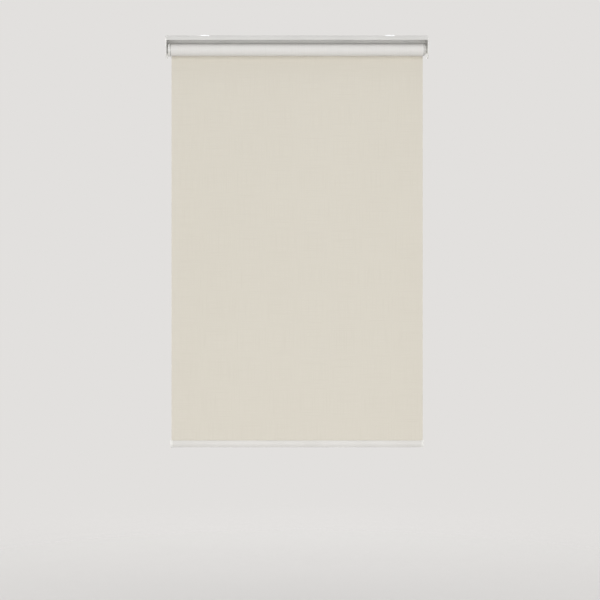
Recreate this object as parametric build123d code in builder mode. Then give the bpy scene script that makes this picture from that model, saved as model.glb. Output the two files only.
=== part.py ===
"""Cordless roller shade for mounting inside a window recess, at its real size in millimetres.

The origin is the centre of the ceiling screws, on the plane where the two mounting clips meet the ceiling.
X runs along the roller, -Y faces the room and +Z points up. The shade is drawn lowered most of the way.
"""

import os
from math import cos, radians, sin, sqrt

from build123d import *

os.makedirs("parts", exist_ok=True)

# Overall sizes
OVERALL_WIDTH = 910.0  # between the outer faces of the end brackets
SHADE_DROP = 1432.5  # from the ceiling to the underside of the hem bar
AXIS_DROP = 43.0  # from the top of the headrail to the axis of the roller

# Headrail, an aluminium extrusion
RAIL_DEPTH = 58.0
RAIL_WALL = 1.5
RAIL_FRONT_LIP = 14.2
RAIL_BACK_LIP = 24.0
RAIL_RETURN = 4.0  # inward return along the lower edge of the front lip
RAIL_EDGE_RADIUS = 1.4
RIB_SPACING = 30.0  # between the two ribs that the clips grip
RIB_WALL = 1.2
RIB_FLANGE = 1.2
RIB_FLANGE_REACH = 2.4  # how far a flange overhangs its rib

# Mounting clips, pressed from spring steel
CLIP_SHEET = 1.2
CLIP_WIDTH = 32.0
CLIP_INSET = 135.0  # from an end of the shade to the middle of a clip
CLIP_SCREW_SPACING = 14.0
CLIP_SCREW_HOLE = 4.5
CLIP_LAP = 1.8  # how far a hook reaches under its flange
CLIP_LATCH_WIDTH = 16.0
CLIP_PLAY = 0.3
CLIP_HOOK_ROOM = 0.6  # free height under a hook

# End brackets, moulded
BRACKET_THICKNESS = 3.0
BRACKET_HEIGHT = 74.0
BRACKET_LOWER_RADIUS = 20.0
BRACKET_UPPER_RADIUS = 2.0
BOSS_DIAMETER = 24.0
BOSS_HEIGHT = 2.5
BOSS_SOCKET_DEPTH = 4.0
TONGUE_WIDTH = 12.0
TONGUE_SPACING = 34.0
TONGUE_THICKNESS = 3.0
TONGUE_LENGTH = 14.0
TONGUE_CLEARANCE = 0.2

# Bracket screws and the port of the headrail that they cut their thread in
SCREW_DIAMETER = 4.0
SCREW_LENGTH = 16.0
SCREW_HEAD_DIAMETER = 7.0
SCREW_HEAD = 1.6
SCREW_CLEARANCE = 0.15
PORT_CLEARANCE = 0.05
PORT_WALL = 1.2
PORT_MOUTH = 2.0

# Roller tube, an aluminium extrusion
TUBE_DIAMETER = 40.0
TUBE_WALL = 1.2
TUBE_RIB_WIDTH = 2.0
TUBE_RIB_HEIGHT = 3.0
TUBE_RIB_ANGLE = 60.0  # of the two plain ribs, up and down from the back
GROOVE_MOUTH = 2.4
GROOVE_WIDTH = 4.4
GROOVE_DEPTH = 2.0  # of the groove's chamber below the tube's wall
SPLINE_CLEARANCE = 0.15

# Fabric
FABRIC_THICKNESS = 0.4
TURN_GAP = 0.05
HALF_TURNS = 5  # still wound on the tube
ROLL_SEAT = 0.1  # between the tube and the first turn
FABRIC_INSET = 1.5  # bare tube at each end of the roll

# Plugs at both ends of the tube, moulded
END_GAP = 2.0  # from the boss of a bracket to the face of a plug
PLUG_FLANGE = 7.0
PLUG_BARREL = 35.5
PLUG_CLEARANCE = 0.1
KEY_CLEARANCE = 0.2
FLANGE_PROUD = 1.2  # of the drive plug's flange over the roll

# Spring motor in the drive end
JOURNAL_DIAMETER = 14.0
RUNNING_CLEARANCE = 0.05
SEAT_CLEARANCE = 0.05
COLLAR_DIAMETER = 18.0
COLLAR_PLAY = 0.25
TANG_SIZE = 8.8
TANG_CLEARANCE = 0.1
RETAINER_THICKNESS = 1.0
RETAINER_LEG = 4.4  # width of its two legs
RETAINER_BRIDGE = 3.4  # height of its bridge
RETAINER_PLAY = 0.3
NOSE_GROOVE = 0.9  # depth of the two grooves that the retaining clip straddles
NOSE_OVERHANG = 3.0  # of the spindle's nose beyond the clip
ROD_SIZE = 6.0  # square
ROD_SOCKET = 12.0
ROD_OVERHANG = 6.0  # beyond the support
SPRING_WIRE = 2.0
SPRING_DIAMETER = 20.0  # at the middle of the wire
SPRING_COILS = 10
SPRING_PITCH = 7.0
SPRING_LEG = 6.0
SPRING_GAP = 4.5  # between the spring's coils and what they are hooked to
LEG_CLEARANCE = 0.2
ANCHOR_LENGTH = 12.0
ANCHOR_WALL = 1.0  # outside the spring's leg
SUPPORT_GAP = 8.0
SUPPORT_LENGTH = 10.0
COIL_FLATS = 10  # straight lengths of wire in one turn of a coil

# Sprung pin in the idle end
DOME_PROUD = 1.0  # of its rim over the tube
DOME_RIM = 1.5
DOME_NOSE_DIAMETER = 29.0
PIN_DIAMETER = 8.0
PIN_COLLAR_DIAMETER = 12.0
PIN_COLLAR = 3.0
PIN_COLLAR_CLEARANCE = 0.4
PIN_SHOULDER = 10.0  # from the plug's face to the stop for the collar
PIN_STOP_PLAY = 0.2
PIN_END_PLAY = 0.3
SEAT_LENGTH = 6.0
COIL_WIRE = 1.0
COIL_DIAMETER = 9.0
COIL_TURNS = 4
COIL_SEAT = 0.1  # between the coil's ends and what they press on

# Hem bar, an aluminium extrusion, with its strip and caps
HEM_HEIGHT = 24.0
HEM_DEPTH = 10.0
HEM_SHOULDER = 5.0  # flat width of its top and its underside
HEM_WALL = 1.3
HEM_LIP = 1.5
HEM_MOUTH = 1.2
HEM_SPLINE_HEIGHT = 7.0
HEM_SPLINE_DEPTH = 3.0
HEM_SLIT = 0.6
HEM_SLIT_DEPTH = 5.5
HEM_SLIT_FLOOR = 0.2  # between the fabric's edge and the floor of the slit
CAP_OVERHANG = 3.0  # of a cap's end beyond the fabric's edge
CAP_WIDTH = 7.5
CAP_END = 1.5
CAP_WALL = 1.0
CAP_CLEARANCE = 0.1
CAP_SLIT = 1.6

# Heights of the clips, the headrail and the roller
FLANGE_TOP = -(CLIP_SHEET + CLIP_PLAY)
HOOK_TOP = FLANGE_TOP - RIB_FLANGE
HOOK_UNDERSIDE = HOOK_TOP - CLIP_SHEET
RAIL_TOP = HOOK_UNDERSIDE - CLIP_HOOK_ROOM
RAIL_UNDERSIDE = RAIL_TOP - RAIL_WALL
AXIS_Z = RAIL_TOP - AXIS_DROP
PORT_BORE = SCREW_DIAMETER + 2 * PORT_CLEARANCE
PORT_Z = RAIL_UNDERSIDE - PORT_BORE / 2 - PORT_WALL / 2

# Places along the roller, counted from the middle
HALF_WIDTH = OVERALL_WIDTH / 2
PLATE_INNER = HALF_WIDTH - BRACKET_THICKNESS
BOSS_FACE = PLATE_INNER - BOSS_HEIGHT
PLUG_FACE = BOSS_FACE - END_GAP
TUBE_END = PLUG_FACE - PLUG_FLANGE
PLUG_INNER_END = TUBE_END - PLUG_BARREL
FABRIC_WIDTH = 2 * (TUBE_END - FABRIC_INSET)
CAP_OUTER_END = FABRIC_WIDTH / 2 + CAP_OVERHANG
HEM_BAR_END = CAP_OUTER_END - CAP_END

# Radii of the roller
TUBE_RADIUS = TUBE_DIAMETER / 2
TUBE_BORE_RADIUS = TUBE_RADIUS - TUBE_WALL
GROOVE_FLOOR_RADIUS = TUBE_BORE_RADIUS - GROOVE_DEPTH
POCKET_RADIUS = GROOVE_FLOOR_RADIUS - TUBE_WALL
POCKET_WIDTH = GROOVE_WIDTH + 2 * TUBE_WALL
PITCH = FABRIC_THICKNESS + TURN_GAP
ARC_CENTRE = PITCH / 4  # the upper and lower half turns are struck from either side of the axis
ROLL_RADIUS = TUBE_RADIUS + ROLL_SEAT + FABRIC_THICKNESS + (HALF_TURNS - 1) * PITCH / 2 + ARC_CENTRE
PANEL_Y = ARC_CENTRE + ROLL_RADIUS - FABRIC_THICKNESS / 2
FLANGE_RADIUS = ROLL_RADIUS + FLANGE_PROUD

ROLLER_AXIS = Axis((0, 0, AXIS_Z), (1, 0, 0))
TURNING_PLANE = Plane(origin=(0, 0, AXIS_Z), x_dir=(1, 0, 0), z_dir=(0, -1, 0))


def roller_plane(x):
    """Section across the roller at x, with Y to the right and Z up."""
    return Plane(origin=(x, 0, AXIS_Z), x_dir=(0, 1, 0), z_dir=(1, 0, 0))


class TurnedProfile(BaseSketchObject):
    """Half section of a turned piece, from steps of (start, end, radius) along its axis."""

    def __init__(self, steps, mode=Mode.ADD):
        with BuildSketch() as profile:
            for start, end, radius in steps:
                with Locations((start, 0)):
                    Rectangle(end - start, radius, align=(Align.MIN, Align.MIN))
        super().__init__(obj=profile.sketch, mode=mode)


class KeyedHexagon(BaseSketchObject):
    """Hexagon whose corners meet the bore of the tube, notched for its ribs and its groove."""

    def __init__(self, mode=Mode.ADD):
        with BuildSketch() as section:
            RegularPolygon(TUBE_BORE_RADIUS - PLUG_CLEARANCE, 6, rotation=30)
            with Locations((-(POCKET_RADIUS - KEY_CLEARANCE), 0)):
                Rectangle(
                    TUBE_RADIUS,
                    POCKET_WIDTH + 2 * KEY_CLEARANCE,
                    align=(Align.MAX, Align.CENTER),
                    mode=Mode.SUBTRACT,
                )
            with PolarLocations(
                TUBE_BORE_RADIUS - TUBE_RIB_HEIGHT - KEY_CLEARANCE,
                2,
                start_angle=-TUBE_RIB_ANGLE,
                angular_range=2 * TUBE_RIB_ANGLE,
                endpoint=True,
            ):
                Rectangle(
                    TUBE_RADIUS,
                    TUBE_RIB_WIDTH + 2 * KEY_CLEARANCE,
                    align=(Align.MIN, Align.CENTER),
                    mode=Mode.SUBTRACT,
                )
        super().__init__(obj=section.sketch, mode=mode)


class CrownedSection(BaseSketchObject):
    """Section of the hem bar: flat top and underside, both broad faces gently arched."""

    def __init__(self, height, depth, shoulder, mode=Mode.ADD):
        with BuildSketch() as section:
            with BuildLine():
                top = Line((-shoulder / 2, height / 2), (shoulder / 2, height / 2))
                back = ThreePointArc(top @ 1, (depth / 2, 0), (shoulder / 2, -height / 2))
                underside = Line(back @ 1, (-shoulder / 2, -height / 2))
                ThreePointArc(underside @ 1, (-depth / 2, 0), top @ 0)
            make_face()
        super().__init__(obj=section.sketch, mode=mode)


# Headrail: an inverted channel with two flanged ribs on top and a screw port inside
with BuildPart() as headrail:
    with BuildSketch(Plane.YZ.offset(-PLATE_INNER)) as rail_section:
        with Locations((0, RAIL_TOP)):
            Rectangle(RAIL_DEPTH, RAIL_WALL, align=(Align.CENTER, Align.MAX))
        with Locations((-RAIL_DEPTH / 2, RAIL_TOP)):
            Rectangle(RAIL_WALL, RAIL_FRONT_LIP, align=(Align.MIN, Align.MAX))
        with Locations((-RAIL_DEPTH / 2, RAIL_TOP - RAIL_FRONT_LIP)):
            Rectangle(RAIL_RETURN, RAIL_WALL, align=(Align.MIN, Align.MIN))
        with Locations((RAIL_DEPTH / 2, RAIL_TOP)):
            Rectangle(RAIL_WALL, RAIL_BACK_LIP, align=(Align.MAX, Align.MAX))
        for side, inner_edge in ((-1, Align.MAX), (1, Align.MIN)):
            with Locations((side * RIB_SPACING / 2, RAIL_TOP)):
                Rectangle(RIB_WALL, FLANGE_TOP - RAIL_TOP, align=(Align.CENTER, Align.MIN))
            with Locations((side * (RIB_SPACING - RIB_WALL) / 2, FLANGE_TOP)):
                Rectangle(RIB_WALL + RIB_FLANGE_REACH, RIB_FLANGE, align=(inner_edge, Align.MAX))
        with Locations((0, PORT_Z)):
            Circle(PORT_BORE / 2 + PORT_WALL)
            Circle(PORT_BORE / 2, mode=Mode.SUBTRACT)
            Rectangle(PORT_MOUTH, PORT_BORE, align=(Align.CENTER, Align.MAX), mode=Mode.SUBTRACT)
        for side in (-1, 1):
            outer_corner = rail_section.vertices().sort_by_distance((side * RAIL_DEPTH / 2, RAIL_TOP))[0]
            fillet(outer_corner, RAIL_EDGE_RADIUS)
    extrude(amount=2 * PLATE_INNER)
headrail.part.label = "headrail"
export_step(headrail.part, "parts/headrail.step")

# Mounting clips: a top plate with a full hook in front and a narrower latch tongue behind
CLIP_HALF_DEPTH = (RIB_SPACING + RIB_WALL) / 2 + RIB_FLANGE_REACH + CLIP_PLAY + CLIP_SHEET
CLIP_HOOK = CLIP_SHEET + CLIP_PLAY + CLIP_LAP

for side, name in ((-1, "mounting_clip_left"), (1, "mounting_clip_right")):
    clip_x = side * (HALF_WIDTH - CLIP_INSET)
    with BuildPart() as clip:
        with BuildSketch(Plane.YZ.offset(clip_x - CLIP_WIDTH / 2)):
            Rectangle(2 * CLIP_HALF_DEPTH, CLIP_SHEET, align=(Align.CENTER, Align.MAX))
            for edge, outer_edge in ((-1, Align.MIN), (1, Align.MAX)):
                with Locations((edge * CLIP_HALF_DEPTH, 0)):
                    Rectangle(CLIP_SHEET, -HOOK_UNDERSIDE, align=(outer_edge, Align.MAX))
                with Locations((edge * CLIP_HALF_DEPTH, HOOK_UNDERSIDE)):
                    Rectangle(CLIP_HOOK, CLIP_SHEET, align=(outer_edge, Align.MIN))
        extrude(amount=CLIP_WIDTH)
        with BuildSketch(Plane.XY):
            for end, outer_edge in ((-1, Align.MIN), (1, Align.MAX)):
                with Locations((clip_x + end * CLIP_WIDTH / 2, CLIP_HALF_DEPTH)):
                    Rectangle(
                        (CLIP_WIDTH - CLIP_LATCH_WIDTH) / 2,
                        CLIP_HOOK + CLIP_PLAY,
                        align=(outer_edge, Align.MAX),
                    )
        extrude(amount=HOOK_UNDERSIDE, mode=Mode.SUBTRACT)
        with Locations((clip_x, -CLIP_SCREW_SPACING / 2, 0), (clip_x, CLIP_SCREW_SPACING / 2, 0)):
            Hole(CLIP_SCREW_HOLE / 2, depth=CLIP_SHEET)
    clip.part.label = name
    export_step(clip.part, f"parts/{name}.step")

# End brackets: a plate as deep as the headrail, two tongues under its web and a boss for the roller
for side, name in ((-1, "left_end_bracket"), (1, "right_end_bracket")):
    with BuildPart() as bracket:
        with BuildSketch(Plane.YZ.offset(side * HALF_WIDTH)) as plate:
            with Locations((0, RAIL_TOP)):
                Rectangle(RAIL_DEPTH, BRACKET_HEIGHT, align=(Align.CENTER, Align.MAX))
            fillet(plate.vertices().group_by(Axis.Y)[-1], BRACKET_UPPER_RADIUS)
            fillet(plate.vertices().group_by(Axis.Y)[0], BRACKET_LOWER_RADIUS)
        extrude(amount=-side * BRACKET_THICKNESS)
        with BuildSketch(Plane.YZ.offset(side * PLATE_INNER)):
            for y in (-TONGUE_SPACING / 2, TONGUE_SPACING / 2):
                with Locations((y, RAIL_UNDERSIDE - TONGUE_CLEARANCE)):
                    Rectangle(TONGUE_WIDTH, TONGUE_THICKNESS, align=(Align.CENTER, Align.MAX))
        extrude(amount=-side * TONGUE_LENGTH)
        with BuildSketch(roller_plane(side * PLATE_INNER)):
            Circle(BOSS_DIAMETER / 2)
        extrude(amount=-side * BOSS_HEIGHT)
        with BuildSketch(roller_plane(side * BOSS_FACE)):
            if side < 0:
                Rectangle(TANG_SIZE + 2 * TANG_CLEARANCE, TANG_SIZE + 2 * TANG_CLEARANCE)
            else:
                Circle(PIN_DIAMETER / 2 + RUNNING_CLEARANCE)
        extrude(amount=side * BOSS_SOCKET_DEPTH, mode=Mode.SUBTRACT)
        with Locations(Plane(origin=(side * HALF_WIDTH, 0, PORT_Z), z_dir=(side, 0, 0))):
            CounterBoreHole(
                SCREW_DIAMETER / 2 + SCREW_CLEARANCE,
                SCREW_HEAD_DIAMETER / 2 + SCREW_CLEARANCE,
                SCREW_HEAD,
                depth=BRACKET_THICKNESS,
            )
    bracket.part.label = name
    export_step(bracket.part, f"parts/{name}.step")

# Bracket screws: one at each end, its low round head flush with the plate
with BuildPart() as bracket_screws:
    for side in (-1, 1):
        with BuildSketch(Plane(origin=(0, 0, PORT_Z), x_dir=(side, 0, 0), z_dir=(0, -side, 0))):
            TurnedProfile(
                [
                    (HALF_WIDTH - SCREW_LENGTH, HALF_WIDTH - SCREW_HEAD, SCREW_DIAMETER / 2),
                    (HALF_WIDTH - SCREW_HEAD, HALF_WIDTH, SCREW_HEAD_DIAMETER / 2),
                ]
            )
        revolve(axis=Axis((0, 0, PORT_Z), (1, 0, 0)))
bracket_screws.part.label = "bracket_screws"
export_step(bracket_screws.part, "parts/bracket_screws.step")

# Roller tube: two plain ribs key the plugs, and a pocket at the front opens as the fabric's groove
with BuildPart() as roller_tube:
    with BuildSketch(roller_plane(-TUBE_END)):
        Circle(TUBE_RADIUS)
        Circle(TUBE_BORE_RADIUS, mode=Mode.SUBTRACT)
        with Locations((-POCKET_RADIUS, 0)):
            Rectangle(TUBE_WALL * 2 + GROOVE_DEPTH, POCKET_WIDTH, align=(Align.MAX, Align.CENTER))
        Circle(TUBE_RADIUS, mode=Mode.INTERSECT)
        with Locations((-GROOVE_FLOOR_RADIUS, 0)):
            Rectangle(GROOVE_DEPTH, GROOVE_WIDTH, align=(Align.MAX, Align.CENTER), mode=Mode.SUBTRACT)
            Rectangle(TUBE_RADIUS, GROOVE_MOUTH, align=(Align.MAX, Align.CENTER), mode=Mode.SUBTRACT)
        with PolarLocations(
            TUBE_BORE_RADIUS - TUBE_RIB_HEIGHT,
            2,
            start_angle=-TUBE_RIB_ANGLE,
            angular_range=2 * TUBE_RIB_ANGLE,
            endpoint=True,
        ):
            Rectangle(TUBE_RIB_HEIGHT + TUBE_WALL / 2, TUBE_RIB_WIDTH, align=(Align.MIN, Align.CENTER))
    extrude(amount=2 * TUBE_END)
roller_tube.part.label = "roller_tube"
export_step(roller_tube.part, "parts/roller_tube.step")

# Tube spline: a T-shaped strip in the groove, its stem under the inner edge of the fabric
with BuildPart() as tube_spline:
    with BuildSketch(roller_plane(-FABRIC_WIDTH / 2)):
        with Locations((-(GROOVE_FLOOR_RADIUS + SPLINE_CLEARANCE), 0)):
            Rectangle(
                GROOVE_DEPTH - 2 * SPLINE_CLEARANCE,
                GROOVE_WIDTH - 2 * SPLINE_CLEARANCE,
                align=(Align.MAX, Align.CENTER),
            )
            Rectangle(
                GROOVE_DEPTH + TUBE_WALL - 2 * SPLINE_CLEARANCE,
                GROOVE_MOUTH - 2 * SPLINE_CLEARANCE,
                align=(Align.MAX, Align.CENTER),
            )
    extrude(amount=FABRIC_WIDTH)
tube_spline.part.label = "tube_spline"
export_step(tube_spline.part, "parts/tube_spline.step")


def half_turn(index, radius):
    """Ends and crown of one half turn, counted inwards from where the panel leaves the roll at the back."""
    facing = 1 if index % 2 == 0 else -1
    centre = facing * ARC_CENTRE
    turn_radius = radius - index * PITCH / 2
    reach = facing * turn_radius
    return (centre + reach, 0), (centre, reach), (centre - reach, 0)


# Fabric roll: one band wound in half turns, from the back over the top and round to the groove in the tube
with BuildPart() as fabric_roll:
    with BuildSketch(roller_plane(-FABRIC_WIDTH / 2)):
        with BuildLine():
            for index in range(HALF_TURNS):
                outer_turn = ThreePointArc(*half_turn(index, ROLL_RADIUS))
                inner_turn = ThreePointArc(*half_turn(index, ROLL_RADIUS - FABRIC_THICKNESS))
                if index == 0:
                    Line(outer_turn @ 0, inner_turn @ 0)
            Line(outer_turn @ 1, inner_turn @ 1)
        make_face()
    extrude(amount=FABRIC_WIDTH)
fabric_roll.part.label = "fabric_roll"
export_step(fabric_roll.part, "parts/fabric_roll.step")

# Heights of the hem bar and of the strip in its channel
HEM_BASE = -SHADE_DROP
HEM_TOP = HEM_BASE + HEM_HEIGHT
HEM_MIDDLE = HEM_BASE + HEM_HEIGHT / 2
CHANNEL_TOP = HEM_TOP - HEM_LIP
CHANNEL_FLOOR = CHANNEL_TOP - HEM_SPLINE_HEIGHT - 2 * SPLINE_CLEARANCE
HEM_SPLINE_TOP = CHANNEL_TOP - SPLINE_CLEARANCE
PANEL_BOTTOM = HEM_SPLINE_TOP - HEM_SLIT_DEPTH + HEM_SLIT_FLOOR

# Fabric panel: hangs from the back of the roll and ends in the slit of the hem strip
with BuildPart() as fabric_panel:
    with BuildSketch(Plane.YZ.offset(-FABRIC_WIDTH / 2)):
        with Locations((PANEL_Y, AXIS_Z)):
            Rectangle(FABRIC_THICKNESS, AXIS_Z - PANEL_BOTTOM, align=(Align.CENTER, Align.MAX))
    extrude(amount=FABRIC_WIDTH)
fabric_panel.part.label = "fabric_panel"
export_step(fabric_panel.part, "parts/fabric_panel.step")

# Hem bar: a crowned extrusion with a channel for the strip above an empty chamber
with BuildPart() as hem_bar:
    with BuildSketch(Plane.YZ.offset(-HEM_BAR_END)):
        with Locations((PANEL_Y, HEM_MIDDLE)):
            CrownedSection(HEM_HEIGHT, HEM_DEPTH, HEM_SHOULDER)
        with Locations((PANEL_Y, CHANNEL_TOP)):
            Rectangle(
                HEM_SPLINE_DEPTH + 2 * SPLINE_CLEARANCE,
                CHANNEL_TOP - CHANNEL_FLOOR,
                align=(Align.CENTER, Align.MAX),
                mode=Mode.SUBTRACT,
            )
            Rectangle(HEM_MOUTH, HEM_LIP, align=(Align.CENTER, Align.MIN), mode=Mode.SUBTRACT)
    extrude(amount=2 * HEM_BAR_END)
    with BuildSketch(Plane.YZ.offset(-HEM_BAR_END)):
        with Locations((PANEL_Y, HEM_MIDDLE)):
            CrownedSection(HEM_HEIGHT - 2 * HEM_WALL, HEM_DEPTH - 2 * HEM_WALL, HEM_SHOULDER - HEM_WALL)
        with Locations((PANEL_Y, CHANNEL_FLOOR - HEM_WALL)):
            Rectangle(HEM_DEPTH, HEM_HEIGHT, align=(Align.CENTER, Align.MAX), mode=Mode.INTERSECT)
    extrude(amount=2 * HEM_BAR_END, mode=Mode.SUBTRACT)
hem_bar.part.label = "hem_bar"
export_step(hem_bar.part, "parts/hem_bar.step")

# Hem spline: a strip slit along its top for the lower edge of the fabric
with BuildPart() as hem_spline:
    with BuildSketch(Plane.YZ.offset(-FABRIC_WIDTH / 2)):
        with Locations((PANEL_Y, HEM_SPLINE_TOP)):
            Rectangle(HEM_SPLINE_DEPTH, HEM_SPLINE_HEIGHT, align=(Align.CENTER, Align.MAX))
            Rectangle(HEM_SLIT, HEM_SLIT_DEPTH, align=(Align.CENTER, Align.MAX), mode=Mode.SUBTRACT)
    extrude(amount=FABRIC_WIDTH)
hem_spline.part.label = "hem_spline"
export_step(hem_spline.part, "parts/hem_spline.step")

# Hem caps: sleeves over the ends of the bar, slit on top where the fabric passes
for side, name in ((-1, "hem_cap_left"), (1, "hem_cap_right")):
    with BuildPart() as cap:
        with BuildSketch(Plane.YZ.offset(side * CAP_OUTER_END)):
            with Locations((PANEL_Y, HEM_MIDDLE)):
                CrownedSection(HEM_HEIGHT + 2 * CAP_WALL, HEM_DEPTH + 2 * CAP_WALL, HEM_SHOULDER)
        extrude(amount=-side * CAP_WIDTH)
        with BuildSketch(Plane.YZ.offset(side * HEM_BAR_END)):
            with Locations((PANEL_Y, HEM_MIDDLE)):
                CrownedSection(HEM_HEIGHT + 2 * CAP_CLEARANCE, HEM_DEPTH + 2 * CAP_CLEARANCE, HEM_SHOULDER)
            with Locations((PANEL_Y, HEM_TOP)):
                Rectangle(CAP_SLIT, 2 * CAP_WALL, align=(Align.CENTER, Align.MIN))
        extrude(amount=-side * (CAP_WIDTH - CAP_END), mode=Mode.SUBTRACT)
    cap.part.label = name
    export_step(cap.part, f"parts/{name}.step")


def coil_points(start, end, turns, radius):
    """Corners of a coil about the roller's axis, its turns bent in short straight lengths."""
    corners = []
    for step in range(turns * COIL_FLATS + 1):
        angle = radians(360 * step / COIL_FLATS)
        along = start + (end - start) * step / (turns * COIL_FLATS)
        corners.append((along, radius * cos(angle), AXIS_Z + radius * sin(angle)))
    return corners


# Places of the spring motor, from the left end of the tube inwards
SPRING_START = -PLUG_INNER_END + SPRING_GAP
SPRING_END = SPRING_START + SPRING_COILS * SPRING_PITCH
ANCHOR_START = SPRING_END + SPRING_GAP
SUPPORT_START = ANCHOR_START + ANCHOR_LENGTH + SUPPORT_GAP
ROD_END = SUPPORT_START + SUPPORT_LENGTH + ROD_OVERHANG
COLLAR_START = -(BOSS_FACE - COLLAR_PLAY)
COLLAR_END = -(PLUG_FACE + COLLAR_PLAY)
JOURNAL_END = -PLUG_INNER_END
RETAINER_START = JOURNAL_END + RETAINER_PLAY
NOSE_END = RETAINER_START + RETAINER_THICKNESS + NOSE_OVERHANG
NOSE_SIZE = JOURNAL_DIAMETER / sqrt(2)
RETAINER_SLOT = NOSE_SIZE - 2 * NOSE_GROOVE + 2 * SEAT_CLEARANCE
ROD_START = NOSE_END - ROD_SOCKET
LEG_HOLE = SPRING_WIRE + 2 * LEG_CLEARANCE

with BuildLine() as spring_path:
    Polyline(*coil_points(SPRING_START, SPRING_END, SPRING_COILS, SPRING_DIAMETER / 2))
DRIVEN_LEG = spring_path.line @ 0
STILL_LEG = spring_path.line @ 1

# Torsion spring: square wire, its driven leg in the plug and its still leg in the anchor
with BuildPart() as torsion_spring:
    with BuildSketch(Plane(origin=DRIVEN_LEG, x_dir=(1, 0, 0), z_dir=spring_path.line % 0)):
        Rectangle(SPRING_WIRE, SPRING_WIRE)
    sweep(path=spring_path.line, transition=Transition.RIGHT)
    for leg, direction in ((DRIVEN_LEG, -1), (STILL_LEG, 1)):
        with BuildSketch(Plane(origin=leg, x_dir=(0, 1, 0), z_dir=(direction, 0, 0))):
            Rectangle(SPRING_WIRE, SPRING_WIRE)
        extrude(amount=SPRING_GAP + SPRING_LEG)
torsion_spring.part.label = "torsion_spring"
export_step(torsion_spring.part, "parts/torsion_spring.step")

# Drive plug: a flange outside the tube and a keyed barrel in it, bored for the journal
with BuildPart() as drive_plug:
    with BuildSketch(roller_plane(-PLUG_FACE)):
        Circle(FLANGE_RADIUS)
    extrude(amount=PLUG_FLANGE)
    with BuildSketch(roller_plane(-TUBE_END)):
        KeyedHexagon()
    extrude(amount=PLUG_BARREL)
    with BuildSketch(roller_plane(-PLUG_FACE)):
        Circle(JOURNAL_DIAMETER / 2 + RUNNING_CLEARANCE)
    extrude(amount=PLUG_FLANGE + PLUG_BARREL, mode=Mode.SUBTRACT)
    with BuildSketch(Plane(origin=DRIVEN_LEG, x_dir=(0, 1, 0), z_dir=(-1, 0, 0))):
        Rectangle(LEG_HOLE, LEG_HOLE)
    extrude(amount=SPRING_GAP + SPRING_LEG + LEG_CLEARANCE, mode=Mode.SUBTRACT)
drive_plug.part.label = "drive_plug"
export_step(drive_plug.part, "parts/drive_plug.step")

# Motor spindle: square tang, thrust collar, journal and a square nose that is socketed for the rod
with BuildPart() as motor_spindle:
    with BuildSketch(TURNING_PLANE):
        TurnedProfile(
            [
                (COLLAR_START, COLLAR_END, COLLAR_DIAMETER / 2),
                (COLLAR_END, JOURNAL_END, JOURNAL_DIAMETER / 2),
            ]
        )
    revolve(axis=ROLLER_AXIS)
    with BuildSketch(roller_plane(COLLAR_START)):
        Rectangle(TANG_SIZE, TANG_SIZE)
    extrude(amount=-(COLLAR_PLAY + BOSS_SOCKET_DEPTH - TANG_CLEARANCE))
    with BuildSketch(roller_plane(JOURNAL_END)):
        Rectangle(NOSE_SIZE, NOSE_SIZE)
    extrude(amount=NOSE_END - JOURNAL_END)
    with BuildSketch(roller_plane(RETAINER_START - SEAT_CLEARANCE)):
        with Locations((NOSE_SIZE / 2 - NOSE_GROOVE, 0)):
            Rectangle(NOSE_GROOVE, NOSE_SIZE, align=(Align.MIN, Align.CENTER))
        with Locations((-NOSE_SIZE / 2 + NOSE_GROOVE, 0)):
            Rectangle(NOSE_GROOVE, NOSE_SIZE, align=(Align.MAX, Align.CENTER))
    extrude(amount=RETAINER_THICKNESS + 2 * SEAT_CLEARANCE, mode=Mode.SUBTRACT)
    with BuildSketch(roller_plane(ROD_START)):
        Rectangle(ROD_SIZE + 2 * SEAT_CLEARANCE, ROD_SIZE + 2 * SEAT_CLEARANCE)
    extrude(amount=ROD_SOCKET, mode=Mode.SUBTRACT)
motor_spindle.part.label = "motor_spindle"
export_step(motor_spindle.part, "parts/motor_spindle.step")

# Retaining clip: a fork pushed down into the grooves of the spindle's nose
with BuildPart() as retaining_clip:
    with BuildSketch(roller_plane(RETAINER_START)):
        with Locations((0, -JOURNAL_DIAMETER / 2)):
            Rectangle(
                RETAINER_SLOT + 2 * RETAINER_LEG,
                JOURNAL_DIAMETER / 2 + NOSE_SIZE / 2 + SEAT_CLEARANCE + RETAINER_BRIDGE,
                align=(Align.CENTER, Align.MIN),
            )
            Rectangle(
                RETAINER_SLOT,
                JOURNAL_DIAMETER / 2 + NOSE_SIZE / 2 + SEAT_CLEARANCE,
                align=(Align.CENTER, Align.MIN),
                mode=Mode.SUBTRACT,
            )
    extrude(amount=RETAINER_THICKNESS)
retaining_clip.part.label = "retaining_clip"
export_step(retaining_clip.part, "parts/retaining_clip.step")

# Spring rod: a square bar that carries the anchor and runs in the support
with BuildPart() as spring_rod:
    with BuildSketch(roller_plane(ROD_START)):
        Rectangle(ROD_SIZE, ROD_SIZE)
    extrude(amount=ROD_END - ROD_START)
spring_rod.part.label = "spring_rod"
export_step(spring_rod.part, "parts/spring_rod.step")

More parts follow.
